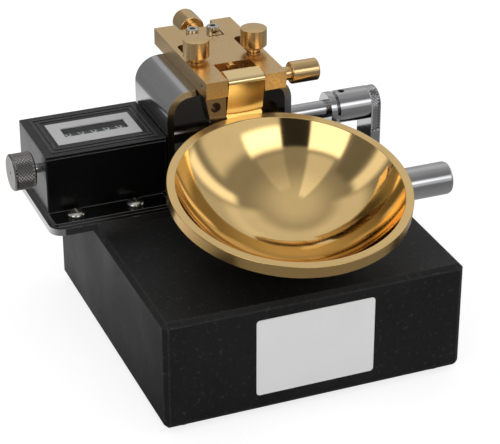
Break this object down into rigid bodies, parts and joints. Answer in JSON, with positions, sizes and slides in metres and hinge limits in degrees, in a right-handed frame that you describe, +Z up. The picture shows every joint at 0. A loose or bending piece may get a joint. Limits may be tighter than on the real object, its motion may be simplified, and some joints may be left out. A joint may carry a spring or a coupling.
{
  "type": "liquid limit device",
  "caption": "Hand-cranked drop-cup tester: hard rubber base, bent steel frame with cam, brass cup on an adjustable carriage, revolution counter.",
  "frame": {"origin": "on the bench, under the middle of the base block", "axes": "+Z up, +Y from the cup towards the adjusting knob, +X from the counter towards the crank"},
  "size_m": [0.2092, 0.1728, 0.1201],
  "materials": {
    "hard_rubber": "satin, bevelled edges",
    "foot_rubber": "matt",
    "label_plate": "satin white, blank",
    "frame_steel": "polished, fine brushed",
    "screw_steel": "bright zinc",
    "shaft_steel": "turned",
    "black_steel": "black oxide",
    "bush_bronze": "satin",
    "plate_brass": "satin milled",
    "cup_brass": "polished, turned",
    "knob_brass": "turned",
    "cam_bronze": "satin",
    "counter_black": "gloss",
    "counter_grey": "satin",
    "window_clear": "clear",
    "wheel_black": "matt, white figures",
    "knob_grey": "knurled"
  },
  "bodies": {
    "base": {"base_block": "hard_rubber", "base_feet": "foot_rubber", "foot_screws": "screw_steel", "front_label": "label_plate", "frame": "frame_steel", "frame_back_plate": "frame_steel", "frame_screws": "screw_steel", "shelf_screws": "screw_steel", "shaft_bush_left": "bush_bronze", "shaft_bush_right": "bush_bronze", "clamp_nuts": "screw_steel", "adjusting_lug": "plate_brass", "lug_screws": "screw_steel", "counter_case": "counter_black", "counter_cover": "counter_black", "counter_face_plate": "counter_grey", "counter_window": "window_clear", "counter_screws": "screw_steel", "counter_chassis": "frame_steel", "counter_axle": "shaft_steel"},
    "clamp_left": {"clamp_screw_left": "knob_brass"},
    "clamp_right": {"clamp_screw_right": "knob_brass"},
    "carriage": {"carriage_plate": "plate_brass", "carriage_ear": "plate_brass", "ear_screw": "black_steel"},
    "adjuster": {"adjusting_screw": "knob_brass", "adjusting_knob": "knob_brass"},
    "pin": {"hinge_pin": "shaft_steel", "hinge_pin_knob": "knob_brass"},
    "cup": {"cup": "cup_brass", "cup_hanger": "plate_brass", "cam_follower": "shaft_steel"},
    "crank": {"camshaft": "shaft_steel", "cam": "cam_bronze", "cam_set_screw": "black_steel", "drive_dog": "shaft_steel", "shaft_collar": "shaft_steel", "crank_hub": "shaft_steel", "hub_set_screw": "black_steel", "crank_arm": "shaft_steel", "handle_spindle": "shaft_steel"},
    "grip": {"handle_grip": "shaft_steel"},
    "reset": {"reset_shaft": "shaft_steel", "reset_knob": "knob_grey"},
    "wheel_1": {"number_wheel_1": "wheel_black"},
    "wheel_2": {"number_wheel_2": "wheel_black"},
    "wheel_3": {"number_wheel_3": "wheel_black"},
    "wheel_4": {"number_wheel_4": "wheel_black"},
    "wheel_5": {"number_wheel_5": "wheel_black"}
  },
  "joints": [
    {"name": "crank_turn", "type": "hinge", "parent": "base", "child": "crank", "pos_m": [0, 0.042, 0.0748], "axis": [1, 0, 0], "continuous": true},
    {"name": "grip_spin", "type": "hinge", "parent": "crank", "child": "grip", "pos_m": [0.0955, 0.042, 0.0288], "axis": [1, 0, 0], "continuous": true},
    {"name": "adjuster_turn", "type": "hinge", "parent": "base", "child": "adjuster", "pos_m": [0.0034, 0.0858, 0.1059], "axis": [0, 1, 0], "range_deg": [0, 2057.2]},
    {"name": "carriage_slide", "type": "slide", "parent": "base", "child": "carriage", "axis": [0, -1, 0], "range_m": [0, 0.004]},
    {"name": "clamp_left_turn", "type": "hinge", "parent": "base", "child": "clamp_left", "pos_m": [-0.0097, 0.0402, 0.1088], "axis": [0, 0, 1], "range_deg": [0, 360]},
    {"name": "clamp_right_turn", "type": "hinge", "parent": "base", "child": "clamp_right", "pos_m": [0.0165, 0.0402, 0.1088], "axis": [0, 0, 1], "range_deg": [0, 360]},
    {"name": "pin_pull", "type": "slide", "parent": "carriage", "child": "pin", "axis": [1, 0, 0], "range_m": [0, 0.03]},
    {"name": "cup_hinge", "type": "hinge", "parent": "carriage", "child": "cup", "pos_m": [0.0034, 0.0208, 0.10505], "axis": [-1, 0, 0], "range_deg": [0, 60]},
    {"name": "reset_turn", "type": "hinge", "parent": "base", "child": "reset", "pos_m": [-0.0896, 0.0372, 0.0724], "axis": [1, 0, 0], "continuous": true},
    {"name": "wheel_1_turn", "type": "hinge", "parent": "base", "child": "wheel_1", "pos_m": [-0.06497, 0.0484, 0.0704], "axis": [1, 0, 0], "continuous": true},
    {"name": "wheel_2_turn", "type": "hinge", "parent": "base", "child": "wheel_2", "pos_m": [-0.05931, 0.0484, 0.0704], "axis": [1, 0, 0], "continuous": true},
    {"name": "wheel_3_turn", "type": "hinge", "parent": "base", "child": "wheel_3", "pos_m": [-0.05365, 0.0484, 0.0704], "axis": [1, 0, 0], "continuous": true},
    {"name": "wheel_4_turn", "type": "hinge", "parent": "base", "child": "wheel_4", "pos_m": [-0.04799, 0.0484, 0.0704], "axis": [1, 0, 0], "continuous": true},
    {"name": "wheel_5_turn", "type": "hinge", "parent": "base", "child": "wheel_5", "pos_m": [-0.04233, 0.0484, 0.0704], "axis": [1, 0, 0], "continuous": true}
  ],
  "couplings": [
    {"joint": "adjuster_turn", "follows": "carriage_slide", "rad_per_m": 8976},
    {"joint": "wheel_1_turn", "follows": "crank_turn", "ratio": 0.00001},
    {"joint": "wheel_2_turn", "follows": "crank_turn", "ratio": 0.0001},
    {"joint": "wheel_3_turn", "follows": "crank_turn", "ratio": 0.001},
    {"joint": "wheel_4_turn", "follows": "crank_turn", "ratio": 0.01},
    {"joint": "wheel_5_turn", "follows": "crank_turn", "ratio": 0.1}
  ]
}
